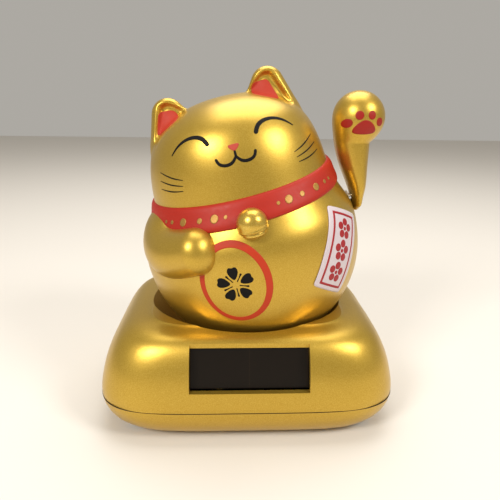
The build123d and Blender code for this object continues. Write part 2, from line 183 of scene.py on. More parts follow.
def surface(name, grids, material, body, wall=0.0, sharp=60):
    """One mesh from grids of points in mm (rows, columns, xyz): each is a sheet of quads, equal
    points are merged, faces turned outwards, and wall gives an open sheet its thickness inwards."""
    points, faces, start = [], [], 0
    for grid in grids:
        index = start + np.arange(grid.shape[0] * grid.shape[1]).reshape(grid.shape[:2])
        corners = (index[:-1, :-1], index[1:, :-1], index[1:, 1:], index[:-1, 1:])
        faces.append(np.stack(corners, axis=-1).reshape(-1, 4))
        points.append(grid.reshape(-1, 3))
        start += index.size
    points, faces = np.concatenate(points) * METRE, np.concatenate(faces)
    mesh = bpy.data.meshes.new(name)
    mesh.vertices.add(len(points))
    mesh.vertices.foreach_set("co", points.ravel())
    mesh.loops.add(faces.size)
    mesh.loops.foreach_set("vertex_index", faces.ravel())
    mesh.polygons.add(len(faces))
    mesh.polygons.foreach_set("loop_start", np.arange(0, faces.size, 4))
    mesh.update(calc_edges=True)
    work = bmesh.new()
    work.from_mesh(mesh)
    bmesh.ops.remove_doubles(work, verts=work.verts, dist=WELD_M)
    bmesh.ops.dissolve_degenerate(work, dist=1e-7, edges=work.edges)
    bmesh.ops.recalc_face_normals(work, faces=work.faces)
    work.to_mesh(mesh)
    work.free()
    mesh.polygons.foreach_set("use_smooth", np.ones(len(mesh.polygons), bool))
    mesh.set_sharp_from_angle(angle=math.radians(sharp))
    mesh.materials.append(material)
    piece = bpy.data.objects.new(name, mesh)
    scene.collection.objects.link(piece)
    if wall:
        thick = piece.modifiers.new("wall", "SOLIDIFY")
        thick.thickness = wall * METRE
        thick.offset = -1
    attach(piece, body)
    return piece


# the band's dark brown is painted shadow for the seam, not the colour of any plastic
surface("painted_seam_shadow", [painted_seam_shadow()], moulded("painted seam shadow", "#2a1c08", 0.9), "base")

# ---- light cell --------------------------------------------------------------------------
# Amorphous light cell: dark brown film behind glass, divided by thin vertical laser lines, and
# held against the window from inside by a black moulded retainer.
CELL_BROWN = "#130c05"
CELL_LINE = "#20160b"
CELL_STRIP_MM = 8.6      # width of one of the cell's four strips


def cell_glass():
    """Brown film under glass, glossy, with a fine line every second strip width."""
    material, tree, shader = finish_of("amorphous silicon cell under glass", base_color=CELL_BROWN,
                                       roughness=0.3, ior=1.33)
    place = add(tree, "ShaderNodeTexCoord")
    across = add(tree, "ShaderNodeSeparateXYZ", {"Vector": place.outputs["Object"]})
    strips = add(tree, "ShaderNodeMath", {0: across.outputs["X"], 1: 1 / (CELL_STRIP_MM * METRE)},
                 operation="MULTIPLY")
    beat = add(tree, "ShaderNodeMath", {0: strips.outputs[0], 1: 1.0}, operation="PINGPONG")
    line = add(tree, "ShaderNodeMapRange", {"Value": beat.outputs[0], "From Min": 0.0, "From Max": 0.025,
                                            "To Min": 1.0, "To Max": 0.0})
    film = add(tree, "ShaderNodeMix", {0: line.outputs["Result"], 6: linear(CELL_BROWN),
                                       7: linear(CELL_LINE)}, data_type="RGBA")
    tree.links.new(film.outputs[2], shader.inputs["Base Color"])
    return material


BLACK_ABS = moulded("black moulded ABS", "#1c1b1a", 0.5)
finish_node("solar_cell", cell_glass())
finish_node("cell_retainer", BLACK_ABS)

# ---- drive board -------------------------------------------------------------------------
# A glass-epoxy board with green solder resist carries the wound coil on its black bobbin, the
# driver under a blob of resin, small chips and the capacitor; two leads bring the cell's current.
LEAD_RED = "#9c1710"
NODE_FINISHES = {
    "circuit_board": moulded("green solder resist on glass-epoxy", "#1c5a34", 0.32, 1.2, ior=1.55),
    "coil_bobbin": BLACK_ABS,
    "driver_chip": moulded("cured black resin blob", "#0d0d0e", 0.22, 2.0),
    "board_chips": moulded("moulded chip resin", "#242426", 0.45),
    "cell_lead_red": moulded("red vinyl insulation", LEAD_RED, 0.42),
    "cell_lead_black": moulded("black vinyl insulation", "#151515", 0.42),
    "pivot_bushes": moulded("natural acetal", "#e6e1d4", 0.4),
}


def turned_metal(name, colour, roughness, pitch_mm, axis="Z"):
    """Bare metal with fine rings or turns along one axis, pitch_mm apart."""
    material, tree, shader = finish_of(name, base_color=colour, metallic=1.0, roughness=roughness)
    place = add(tree, "ShaderNodeTexCoord")
    rings = add(tree, "ShaderNodeTexWave",
                {"Vector": place.outputs["Object"], "Scale": 0.314 / (pitch_mm * METRE),
                 "Distortion": 0.4, "Detail": 1.0}, bands_direction=axis)
    bump = add(tree, "ShaderNodeBump", {"Height": rings.outputs["Fac"], "Strength": 0.3,
                                        "Distance": 0.00006})
    tree.links.new(bump.outputs["Normal"], shader.inputs["Normal"])
    return material


# copper shows its turns, drawn coarser than the real wire; the can and the plated screws keep
# faint turning marks
NODE_FINISHES["drive_coil"] = turned_metal("enamelled copper winding", "#b5622e", 0.34, 0.7)
NODE_FINISHES["storage_capacitor"] = turned_metal("sleeved aluminium can", "#c9cbcf", 0.3, 1.4)
ZINC = turned_metal("zinc-plated steel", "#b9bcc0", 0.34, 0.5)
for name in ("board_screws", "yoke_screws", "axle_clips", "base_screws"):
    NODE_FINISHES[name] = ZINC

# ---- pivot, rocker, weight and magnet ----------------------------------------------------
# A black yoke on the board side carries a ground steel axle; the cat's frame turns on it with
# acetal bushes, and a plain steel block and a nickel-plated magnet hang below it over the coil.
for name in ("pivot_yoke", "rocker_frame"):
    NODE_FINISHES[name] = BLACK_ABS
GROUND_STEEL = turned_metal("ground steel rod", "#c4c6c8", 0.2, 0.4, "Y")
NODE_FINISHES["pivot_axle"] = GROUND_STEEL
NODE_FINISHES["arm_shaft"] = GROUND_STEEL
NODE_FINISHES["balance_weight"] = moulded("sawn mild steel block", "#6d6e70", 0.45, 0.8, metallic=1.0)
NODE_FINISHES["drive_magnet"] = turned_metal("nickel-plated magnet", "#d2cfc6", 0.16, 2.0)
NODE_FINISHES["shoulder_bush"] = NODE_FINISHES["pivot_bushes"]
NODE_FINISHES["arm_crank"] = moulded("natural acetal lever", "#dcd7ca", 0.42)
for name in ("rocker_screws", "weight_screws", "body_screws", "shaft_clip"):
    NODE_FINISHES[name] = ZINC
for name, material in NODE_FINISHES.items():
    finish_node(name, material)

# ---- cat's body shells -------------------------------------------------------------------
# Front and back halves of one thin ABS egg, glued and screwed along the flanks and sprayed with
# the same pearl gold. Ears with a hollowed front and the resting arm are moulded in the shells.
joints = {joint["name"]: joint for joint in frame["joints"]}
PIVOT = np.array(joints["body_rock"]["pos_m"]) / METRE
LEAN = math.atan2(joints["arm_wave"]["axis"][2], joints["arm_wave"]["axis"][0])
CORE = np.array([0.0, 0.0, 5.0])      # centre that the body's skin is measured from, in mm
DEPTH = 0.9                           # the body's depth against its width
BELLY_R = 35.0
BELLY_Z = -7.0
CROWN_Z = 40.5
# half width and height above the axle, from beside the crown down to the shoulder
SHOULDER_TO_CROWN = ((8.5, 39.8), (17, 36.8), (23.3, 31.5), (26.3, 25.5), (27.6, 20), (28.2, 15.5),
                     (29.0, 11), (31.7, 5.5))
EAR_FOOT = (14.8, 0.0, 30.2)          # mirrored for the other ear
EAR_TIP = (16.0, 0.0, 39.9)
EAR_R = (9.4, 5.1)                    # at the foot and at the tip
EAR_FLAT = 0.66                       # the ear's thickness against its width
EAR_BLEND = 2.2                       # softness of the ear's root
EAR_MIDDLE = -0.7                     # the pair stands a little off the head's middle,
EAR_LIFT = 0.9                        # and the left one a little higher
SHELL_WALL = 1.5
HEAD_SHIFT = 1.1                      # the head sits a little to its left of the belly,
SHIFT_FROM, SHIFT_OVER = 2, 12        # from this height on, easing in over this much
PARTING_HALF = 0.35                   # half width and depth of the parting line
PARTING_DEEP = 0.16
EAR_HOLLOW = ((8.0, 38.6), (20.2, 29.4), (22.4, 32.6), (18.0, 43.6), (14.6, 44.0))   # front view
HOLLOW_DEEP = 2.4
HOLLOW_RIM = 2.1                      # width over which a hollow's side runs down
BROW_Y = 9.5                          # depth at which the head closes the hollow from below


def curve_through(places, values, flat_ends=True):
    """Cubic spline as a function: its bends come from one linear solve. The slopes at both ends are
    0 with flat_ends, else the bends there are."""
    x, y = np.asarray(places, float), np.asarray(values, float)
    step, n = np.diff(x), len(x)
    system, load = np.zeros((n, n)), np.zeros(n)
    slope = np.diff(y) / step
    inner = np.arange(1, n - 1)
    system[inner, inner - 1] = step[:-1]
    system[inner, inner] = 2 * (step[:-1] + step[1:])
    system[inner, inner + 1] = step[1:]
    load[1:-1] = 6 * np.diff(slope)
    system[0, :2] = (2 * step[0], step[0]) if flat_ends else (1, 0)
    system[-1, -2:] = (step[-1], 2 * step[-1]) if flat_ends else (0, 1)
    load[0], load[-1] = (6 * slope[0], -6 * slope[-1]) if flat_ends else (0, 0)
    bend = np.linalg.solve(system, load)

    def curve(t):
        k = np.clip(np.searchsorted(x, t) - 1, 0, n - 2)
        after, before = t - x[k], x[k + 1] - t
        cubic = (bend[k] * before ** 3 + bend[k + 1] * after ** 3) / (6 * step[k])
        line = (y[k] / step[k] - bend[k] * step[k] / 6) * before
        return cubic + line + (y[k + 1] / step[k] - bend[k + 1] * step[k] / 6) * after
    return curve


def smooth_path(points, count):
    """Even samples along a natural spline through given points."""
    points = np.asarray(points, float)
    run = np.concatenate([[0], np.cumsum(np.linalg.norm(np.diff(points, axis=0), axis=1))])
    t = np.linspace(0, run[-1], count)
    return np.stack([curve_through(run, points[:, k], False)(t) for k in range(points.shape[1])], axis=-1)


def body_outline():
    """Half outline of the body as distance from CORE by angle from the crown."""
    below = np.radians([101, 90, 68, 45, 22, 0])
    belly = [(BELLY_R * math.sin(a), BELLY_Z - BELLY_R * math.cos(a)) for a in below]
    points = np.array([(0.0, CROWN_Z), *SHOULDER_TO_CROWN, *belly]) - (0, CORE[2])
    angle = np.arctan2(points[:, 0], points[:, 1])
    angle[-1] = math.pi
    return curve_through(angle, np.hypot(points[:, 0], points[:, 1]))


OUTLINE = body_outline()


def torso_reach(way):
    """Distance from CORE to the bare body along unit directions: the outline turned, then flattened."""
    round_way = way / (1, DEPTH, 1)
    angle = np.arctan2(np.hypot(round_way[..., 0], round_way[..., 1]), round_way[..., 2])
    return OUTLINE(angle) / np.linalg.norm(round_way, axis=-1)


def finger_reach(way, foot, tip, radii, flat=1.0, steps=40):
    """Far side of a row of spheres from foot to tip along each direction, flattened in depth."""
    squeeze = np.array([1, 1 / flat, 1])
    ray = way * squeeze
    length = np.sum(ray * ray, axis=-1)
    reach = np.zeros(way.shape[:-1])
    for share in np.linspace(0, 1, steps):
        centre = ((1 - share) * np.array(foot) + share * np.array(tip) - CORE) * squeeze
        radius = (1 - share) * radii[0] + share * radii[1]
        along = ray @ centre
        inside = along ** 2 - length * (centre @ centre - radius ** 2)
        far = (along + np.sqrt(np.maximum(inside, 0))) / length
        reach = np.maximum(reach, np.where(inside > 0, far, 0))
    return reach


def soft_max(a, b, blend):
    """The larger of two distances, with the crease between them filled to a radius of about blend."""
    return np.maximum(a, b) + np.maximum(blend - np.abs(a - b), 0) ** 2 / (4 * blend)


def on_ear_side(point, side):
    """A place on one ear from its mirrored driving place: last number is its height."""
    return (point[0] * side + EAR_MIDDLE, *point[1:-1], point[-1] + side * EAR_LIFT)


def body_reach(way, moulded_on=True):
    """Distance from CORE to the body's skin; moulded_on adds the ears."""
    reach = torso_reach(way)
    if moulded_on:
        for side in (-1, 1):
            ear = finger_reach(way, on_ear_side(EAR_FOOT, side), on_ear_side(EAR_TIP, side), EAR_R, EAR_FLAT)
            reach = soft_max(reach, ear, EAR_BLEND)
    return reach


def depth_inside(x, z, corners):
    """Depth inside a convex outline in the front view: the softly smallest distance to its sides."""
    depth = np.full(np.shape(x), 1e3)
    middle = np.mean(corners, axis=0)
    for (x0, z0), (x1, z1) in zip(corners, corners[1:] + corners[:1]):
        across = np.array([z0 - z1, x1 - x0]) / math.hypot(x1 - x0, z1 - z0)
        across *= math.copysign(1, across @ (middle - (x0, z0)))
        depth = -soft_max(-depth, -(across[0] * (x - x0) + across[1] * (z - z0)), 1.0)
    return depth


def ease(t):
    """Smooth step from 0 to 1."""
    t = np.clip(t, 0, 1)
    return t * t * (3 - 2 * t)


def hollowed(points):
    """Pushes the ears' fronts back inside a soft rim, fading out where the brow comes forward."""
    moved = points.copy()
    for side in (-1, 1):
        corners = [on_ear_side(corner, side) for corner in EAR_HOLLOW]
        depth = depth_inside(points[..., 0], points[..., 2], corners)
        brow = ease((BROW_Y + points[..., 1]) / 3.0)
        push = HOLLOW_DEEP * ease((depth + 0.3) / HOLLOW_RIM) * brow
        moved[..., 1] += np.where(points[..., 1] < 0, push, 0)
    return moved


def shifted(points):
    """Slides the head sideways on the belly, easing in over the shoulders."""
    moved = points.copy()
    moved[..., 0] += HEAD_SHIFT * ease((points[..., 2] - SHIFT_FROM) / SHIFT_OVER)
    return moved


def in_world(points):
    """Points of the upright cat, in mm about its axle, leaned and set on the pivot, in mm."""
    x, y, z = points[..., 0], points[..., 1], points[..., 2]
    leaned = np.stack([x * math.cos(LEAN) - z * math.sin(LEAN), y,
                       x * math.sin(LEAN) + z * math.cos(LEAN)], axis=-1)
    return leaned + PIVOT


MOUTH_HALF = (18.6, 13.5)        # rounded opening underneath, where the yoke reaches in
MOUTH_SQUARE = 6
MOUTH_Z = -37.3
HEAD_TILT = 0.9                  # half of the rows lie above this angle from the crown


def body_skin(first, last, rows=218, columns=212):
    """Skin between two azimuths: rows run from the crown down to the mouth underneath, columns are
    closest at the parting line, where the skin dips into a fine groove."""
    share = (1 - np.cos(np.linspace(0, math.pi, columns))) / 2
    around = first + (last - first) * (0.7 * np.linspace(0, 1, columns) + 0.3 * share)
    mouth = rounded_square(around, MOUTH_HALF, MOUTH_SQUARE)
    lowest = math.pi - np.arctan(mouth / (CORE[2] - MOUTH_Z))
    upper = np.linspace(0, HEAD_TILT, rows // 2, endpoint=False)[:, None] + 0 * around
    lower = HEAD_TILT + np.linspace(0, 1, rows - rows // 2)[:, None] * (lowest - HEAD_TILT)
    tilt = np.concatenate([upper, lower])
    turn = np.broadcast_to(around, tilt.shape)
    way = np.stack([np.sin(tilt) * np.cos(turn), np.sin(tilt) * np.sin(turn), np.cos(tilt)], axis=-1)
    reach = body_reach(way)
    off_parting = np.abs(reach * way[..., 1])
    reach = reach - PARTING_DEEP * ease(1 - off_parting / PARTING_HALF)
    return shifted(hollowed(CORE + reach[..., None] * way))


for name, first, last in (("body_front_shell", math.pi, 2 * math.pi), ("body_back_shell", 0, math.pi)):
    shell = surface("painted_" + name, [in_world(body_skin(first, last))], GOLD, "cat", SHELL_WALL)
    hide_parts(name)

# ---- resting arm -------------------------------------------------------------------------
# The other arm lies across the belly, moulded in one with the front shell: a full, round limb
# that comes out of the flank and ends in a blunt paw beside the ring.
# Centre line (x, y, z) and half thickness, from inside the flank to the paw:
REST_ARM = ((-19.5, 3.0, 4.0, 9.0), (-21.3, -5.5, 3.0, 11.2), (-22.4, -17.5, 0.7, 8.4),
            (-14.9, -26.0, 1.4, 6.9))
PAW_BLUNT = 0.86         # the paw's end is a little flatter than a ball
CAP_ROWS = 27            # rings that close each end


def rest_arm_skin():
    """Circles carried along the arm's centre line, closed by a buried ball and a blunt paw."""
    line = smooth_path(REST_ARM, 60)
    spine, r = line[:, :3], line[:, 3]
    ahead = np.gradient(spine, axis=0)
    ahead /= np.linalg.norm(ahead, axis=1, keepdims=True)
    cap = np.linspace(0, math.pi / 2, CAP_ROWS + 1)[1:]
    first = spine[:1] - ahead[:1] * (r[0] * np.sin(cap[::-1]))[:, None]
    last = spine[-1:] + ahead[-1:] * (r[-1] * PAW_BLUNT * np.sin(cap))[:, None]
    spine = np.concatenate([first, spine, last])
    r = np.concatenate([r[0] * np.cos(cap[::-1]), r, r[-1] * np.cos(cap) ** 0.9])
    r[[0, -1]] = 0
    ahead = np.concatenate([np.repeat(ahead[:1], CAP_ROWS, 0), ahead, np.repeat(ahead[-1:], CAP_ROWS, 0)])
    side = np.cross(ahead, (0, 0, 1))
    side /= np.linalg.norm(side, axis=1, keepdims=True)
    above = np.cross(side, ahead)
    turn = np.linspace(0, 2 * math.pi, 97)[None, :, None]
    return spine[:, None] + r[:, None, None] * (side[:, None] * np.cos(turn) + above[:, None] * np.sin(turn))


surface("resting_arm", [in_world(rest_arm_skin())], GOLD, "cat")

# ---- painted features --------------------------------------------------------------------
# Eyes, mouth and whiskers are brushed on in black, the nose and inner ears in red, and the belly
# carries a black blossom in a red ring; each is a thin coat of paint that follows the skin.
FACE_AT = 2.0            # the face looks a little to its left of the body's middle
PAINT_MM = 0.07
COAT_WALL = 0.16         # a coat's thickness, most of it under the skin
TIP_ROWS = 7             # rows that round each end of a brush stroke
EYE = ((6.9, 29.1), (7.8, 30.5), (9.7, 31.4), (12.4, 31.3), (15.3, 30.0), (17.6, 28.0))
EYE_HALF_WIDTH = (0.62, 0.6, 0.5, 0.38, 0.26, 0.12)
MOUTH_ARC = ((0.0, 24.3), (1.3, 22.9), (3.2, 22.5), (5.0, 23.3), (5.5, 24.4))
MOUTH_HALF_WIDTH = (0.34, 0.42, 0.44, 0.42, 0.4)
WHISKERS = (((22.6, 23.9), (19.0, 21.9), (16.2, 21.0)),
            ((23.2, 21.5), (20.2, 20.2), (16.6, 19.4)),
            ((23.6, 19.2), (20.6, 18.3), (16.9, 18.0)))
WHISKER_HALF_WIDTH = (0.09, 0.19, 0.1)
NOSE = ((-2.1, 27.5), (2.1, 27.5), (0.0, 25.3))


def paint(name, colour, roughness, ior=1.4):
    """Brushed enamel: a slightly uneven colour and a gloss that varies with the brush marks."""
    material, tree, shader = finish_of(name, base_color=colour, roughness=roughness, ior=ior)
    strokes = grain(tree, 0.9, 3.0)
    gloss = add(tree, "ShaderNodeMapRange", {"Value": strokes.outputs["Fac"],
                                             "To Min": roughness - 0.1, "To Max": roughness + 0.12})
    tree.links.new(gloss.outputs["Result"], shader.inputs["Roughness"])
    bump = add(tree, "ShaderNodeBump", {"Height": strokes.outputs["Fac"], "Strength": 0.12,
                                        "Distance": 0.00008})
    tree.links.new(bump.outputs["Normal"], shader.inputs["Normal"])
    return material


BLACK_PAINT = paint("black brushed enamel", "#050302", 0.6, 1.28)
RED_PAINT = paint("red brushed enamel", "#b3300c", 0.5)
EAR_PAINT = paint("coral red sprayed enamel", "#b43621", 0.6)
NOSE_PAINT = paint("dull red enamel", "#b04030", 0.5)


def on_body(x, z, lift=0.0, moulded_on=True):
    """Points on the front skin behind front-view places: halving finds where each depth line meets
    the skin, and lift carries the point out along its direction from CORE."""
    near, far = np.full(np.shape(x), -46.0), np.zeros(np.shape(x))
    for _ in range(26):
        y = (near + far) / 2
        point = np.stack([x, y, z], axis=-1) - CORE
        length = np.linalg.norm(point, axis=-1)
        way = point / length[..., None]
        outside = length > body_reach(way, moulded_on)
        near, far = np.where(outside, y, near), np.where(outside, far, y)
    return CORE + point + lift * way


def stroke(points, half_widths, count=48, across=9):
    """A brush stroke in the front view: sideways offsets along a path, with half-round ends."""
    path = smooth_path([(*p, w) for p, w in zip(points, half_widths)], count)
    line, half = path[:, :2], path[:, 2]
    ahead = np.gradient(line, axis=0)
    ahead /= np.linalg.norm(ahead, axis=1, keepdims=True)
    side = np.stack([-ahead[:, 1], ahead[:, 0]], axis=1)
    cap = np.linspace(0, math.pi / 2, TIP_ROWS)
    lead = line[0] - ahead[0] * (half[0] * np.cos(cap))[:, None]
    tail = line[-1] + ahead[-1] * (half[-1] * np.cos(cap[::-1]))[:, None]
    line = np.concatenate([lead[:-1], line, tail[1:]])
    half = np.concatenate([half[0] * np.sin(cap[:-1]), half, half[-1] * np.sin(cap[::-1][1:])])
    side = np.concatenate([np.repeat(side[:1], TIP_ROWS - 1, 0), side,
                           np.repeat(side[-1:], TIP_ROWS - 1, 0)])
    share = np.linspace(-1, 1, across)
    return line[:, None] + side[:, None] * (half[:, None] * share)[..., None]


def filled(outline, rings=8):
    """A filled shape in the front view: rings that shrink from a closed outline to its middle."""
    outline = np.asarray(outline)
    middle = outline[:-1].mean(axis=0)
    return middle + np.linspace(1, 0, rings)[:, None, None] * (outline - middle)


def rounded(corners, radius, count=145):
    """Closed outline of a polygon with rounded corners, its points spread evenly along it."""
    corners = np.asarray(corners, float)
    loop = []
    for before, corner, after in zip(np.roll(corners, 1, 0), corners, np.roll(corners, -1, 0)):
        come = (before - corner) / np.linalg.norm(before - corner)
        go = (after - corner) / np.linalg.norm(after - corner)
        t = np.linspace(0, 1, 9)[:, None]
        loop.append(corner + radius * (come * (1 - t) ** 2 + go * t ** 2))
    loop = np.concatenate(loop + [loop[0][:1]])
    run = np.concatenate([[0], np.cumsum(np.linalg.norm(np.diff(loop, axis=0), axis=1))])
    even = np.linspace(0, run[-1], count)
    return np.stack([np.interp(even, run, loop[:, k]) for k in (0, 1)], axis=-1)


def slide(shape):
    """How far shifted() will move each front-view place of a shape."""
    return HEAD_SHIFT * ease((shape[..., 1] - SHIFT_FROM) / SHIFT_OVER)


def painted(name, shapes, material, moulded_on=True, coat=PAINT_MM, place=on_body):
    """Paint on the cat from front-view shapes: laid on the skin, lifted a coat's thickness."""
    grids = [place(shape[..., 0] - slide(shape), shape[..., 1], coat, moulded_on) for shape in shapes]
    return surface(name, [in_world(shifted(grid)) for grid in grids], material, "cat", COAT_WALL)


def on_face(points, side):
    """Front-view places on one side of the face from their mirrored ones."""
    return [(FACE_AT + side * p[0], p[1]) for p in points]


painted("eyes", [stroke(on_face(EYE, side), EYE_HALF_WIDTH) for side in (-1, 1)], BLACK_PAINT)
mouth = [stroke(on_face(MOUTH_ARC, side), MOUTH_HALF_WIDTH) for side in (-1, 1)]
mouth.append(stroke(on_face(((0, 25.6), (0, 25.0), (0, 24.2)), 1), (0.3, 0.34, 0.36)))
painted("mouth", mouth, BLACK_PAINT)
painted("whiskers", [stroke(on_face(whisker, side), WHISKER_HALF_WIDTH)
                     for side in (-1, 1) for whisker in WHISKERS], BLACK_PAINT)
painted("nose", [filled(rounded(on_face(NOSE, 1), 1.35))], NOSE_PAINT, coat=0.1)


def on_ear(x, z, lift, moulded_on):
    """Points on the floor of the ears' hollows."""
    return hollowed(on_body(x, z, 0.0)) - np.array([0, lift, 0])


EAR_RED = ((11.4, 38.2), (19.6, 34.4), (17.3, 41.4), (12.6, 41.0))
painted("inner_ears", [filled(rounded([on_ear_side(c, side) for c in EAR_RED], 1.4), 14)
                       for side in (-1, 1)], EAR_PAINT, place=on_ear)

RING_AT = (-6.6, -9.2)
RING_HALF = (9.3, 11.7)
RING_WIDE = (0.62, 1.05)         # brush half width: from the thin lower left to the thick upper right
RING_SWEEP = (128, -218)         # start and end of the stroke in degrees; the gap is under the paw


def brushed_ring():
    """The belly's ring as one stroke: an ellipse whose width swells towards the upper right."""
    turn = np.radians(np.linspace(*RING_SWEEP, 150))
    line = np.stack([RING_AT[0] + RING_HALF[0] * np.cos(turn), RING_AT[1] + RING_HALF[1] * np.sin(turn)], -1)
    swell = (1 + np.cos(turn - math.radians(35))) / 2
    half = RING_WIDE[0] + (RING_WIDE[1] - RING_WIDE[0]) * swell
    outward = np.stack([np.cos(turn) / RING_HALF[0], np.sin(turn) / RING_HALF[1]], -1)
    outward /= np.linalg.norm(outward, axis=1, keepdims=True)
    share = np.linspace(-1, 1, 9)
    return line[:, None] + outward[:, None] * (half[:, None] * share)[..., None]


painted("belly_ring", [brushed_ring()], RED_PAINT, moulded_on=False)

PETALS = 5


def brushed_petal(turn):
    """One notched petal of the belly's blossom, drawn as a closed outline about RING_AT."""
    t = np.linspace(0, 2 * math.pi, 61)
    along = 3.55 + 1.95 * np.cos(t) - 0.42 * np.exp(-(np.minimum(t, 2 * math.pi - t) / 0.34) ** 2)
    across = 1.72 * np.sin(t) * (0.82 + 0.3 * np.cos(t))
    x = RING_AT[0] + along * math.sin(turn) + across * math.cos(turn)
    z = RING_AT[1] + along * math.cos(turn) - across * math.sin(turn)
    return np.stack([x, z], -1)


blossom = [filled(brushed_petal(2 * math.pi * k / PETALS)) for k in range(PETALS)]
for k in range(PETALS):
    turn = 2 * math.pi * (k + 0.5) / PETALS
    reach = np.array([(math.sin(turn), math.cos(turn))])
    blossom.append(stroke(np.array(RING_AT) + reach * np.array([[1.2], [2.4], [3.5]]), (0.16, 0.14, 0.3), 16))
painted("belly_blossom", blossom, BLACK_PAINT, moulded_on=False)

# ---- collar and bell ---------------------------------------------------------------------
# A raised band moulded round the neck, sprayed red and dotted with gold in small groups, and a
# round gold bell whose lower half carries two raised ribs with the slot between them.
COLLAR_Z = 11.7
COLLAR_HALF = 3.6
COLLAR_DIP = math.radians(5)
COLLAR_PROUD = 1.3
COLLAR_SET_IN = 0.9      # how far it reaches under the body's skin
COLLAR_ROUND = 27.5      # the band's radius, which turns a length along it to an angle
# dots each side: distance along the band from the middle in front, and radius
COLLAR_DOTS = ((7.4, 0.5), (10.6, 1.15), (15.0, 0.75), (20.4, 1.05), (24.6, 0.55), (27.2, 0.45))
COLLAR_RED = paint("red sprayed enamel", "#a51f0b", 0.5)
DOT_GOLD = pearl_gold("gold dabbed dots", "#9c7230", "#c0954c", 0.5)
BELL_AT = np.array([1.9, -29.4, 6.4])
BELL_R = 4.3
RIBS_AT, SLOT_AT = (112, 134), 123       # angles down from the bell's crown, in degrees
RIB_PROUD, RIB_WIDE = 0.24, 4.5
SLOT_DEEP, SLOT_WIDE = 0.35, 3.2
BELL_GOLD = pearl_gold("burnished gold spray", "#c39a2c", "#e2c768", 0.3)


def neck_radius(turn, height):
    """Distance of the bare neck from the cat's own axis at each azimuth and height, by halving."""
    near, far = np.zeros(np.shape(turn)), np.full(np.shape(turn), 46.0)
    for _ in range(26):
        r = (near + far) / 2
        point = np.stack([r * np.cos(turn), r * np.sin(turn), height], axis=-1) - CORE
        length = np.linalg.norm(point, axis=-1)
        outside = length > torso_reach(point / length[..., None])
        near, far = np.where(outside, near, r), np.where(outside, r, far)
    return r


def on_collar(turn, share, proud):
    """Points of the band: share runs across it from -1 to 1, on a neck that dips in front."""
    neck = neck_radius(turn, np.full(np.shape(turn), COLLAR_Z))
    middle = COLLAR_Z + neck * np.sin(turn) * math.tan(COLLAR_DIP)
    height = middle + share * COLLAR_HALF
    r = neck_radius(turn, height) + proud
    return shifted(np.stack([r * np.cos(turn), r * np.sin(turn), height], axis=-1))


def collar_crown(share):
    """The band's height over the skin: full in the middle, rounding off to its edges."""
    return COLLAR_PROUD * (1 - np.abs(share) ** 3.2) ** 0.5


turn, share = np.meshgrid(np.linspace(0, 2 * math.pi, 241), np.sin(np.linspace(-1, 1, 29) * math.pi / 2),
                          indexing="ij")
outer = on_collar(turn, share, collar_crown(share))
inner = on_collar(turn, share, -COLLAR_SET_IN * (1 - share ** 2))
collar = surface("painted_collar", [in_world(outer), in_world(inner)], COLLAR_RED, "cat")
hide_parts("collar_band")

dots = []
for side in (-1, 1):
    for along, radius in COLLAR_DOTS:
        middle = -math.pi / 2 + (FACE_AT + side * along) / COLLAR_ROUND
        ring, spoke = np.meshgrid(np.linspace(0, 1, 6), np.linspace(0, 2 * math.pi, 33), indexing="ij")
        dot_turn = middle + ring * radius * np.cos(spoke) / COLLAR_ROUND
        dot_share = ring * radius * np.sin(spoke) / COLLAR_HALF
        dots.append(in_world(on_collar(dot_turn, dot_share, collar_crown(dot_share) + 0.1)))
surface("collar_dots", dots, DOT_GOLD, "cat", 0.2)


def bell_shell():
    """Ball turned about its upright axis; the lower half swells into two ribs beside a slot."""
    tilt = np.concatenate([np.linspace(0, 1.7, 30, endpoint=False), np.linspace(1.7, math.pi, 90)])
    tilt, turn = np.meshgrid(tilt, np.linspace(0, 2 * math.pi, 97), indexing="ij")
    low = np.degrees(tilt)
    ribs = sum(RIB_PROUD * np.exp(-((low - rib) / RIB_WIDE) ** 2) for rib in RIBS_AT)
    slot = -SLOT_DEEP * np.exp(-((low - SLOT_AT) / SLOT_WIDE) ** 2)
    r = BELL_R + ribs + slot * ease((np.cos(turn + math.pi / 2) - 0.2) / 0.3)
    return BELL_AT + np.stack([r * np.sin(tilt) * np.cos(turn), r * np.sin(tilt) * np.sin(turn),
                               r * np.cos(tilt)], axis=-1)


bell = surface("bell", [in_world(bell_shell())], BELL_GOLD, "cat")
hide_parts("collar_bell")

# ---- fortune label -----------------------------------------------------------------------
# A strip of pearl-white vinyl pressed on the cat's left flank, printed in red with a frame and
# three plain blossoms.
LABEL_MID = np.array([0.754, -0.648, -0.103])   # way from the belly's centre to the label's middle
LABEL_HALF = (7.5, 13.75)
LABEL_TILT = math.radians(30)
LABEL_LIFT = 0.12                               # glue under it
LABEL_THICK = 0.25
FRAME_INSET = (1.9, 1.6)
FRAME_WIDE = 0.8
BLOSSOMS_ALONG = (-7, 0, 7)
BLOSSOM_SIZE = 3.6
LABEL_WHITE = finish_of("pearl white vinyl", base_color="#c9bcc0", roughness=0.42, sheen_weight=0.1)[0]
PRINT_RED = paint("red print", "#9c1c22", 0.5)


def on_label(across, along, lift):
    """Label places in mm, swung by LABEL_TILT, wrapped on the belly and projected on the skin."""
    a = across * math.cos(LABEL_TILT) + along * math.sin(LABEL_TILT)
    b = along * math.cos(LABEL_TILT) - across * math.sin(LABEL_TILT)
    out = LABEL_MID / np.linalg.norm(LABEL_MID)
    side = np.cross((0, 0, 1), out)
    side /= np.linalg.norm(side)
    above = np.cross(out, side)
    way = out + (side * a[..., None] + above * b[..., None]) / BELLY_R
    point = BELLY_R * way / np.linalg.norm(way, axis=-1, keepdims=True) + (0, 0, BELLY_Z)
    way = (point - CORE) / np.linalg.norm(point - CORE, axis=-1, keepdims=True)
    return CORE + (torso_reach(way) + LABEL_LIFT + LABEL_THICK + lift)[..., None] * way


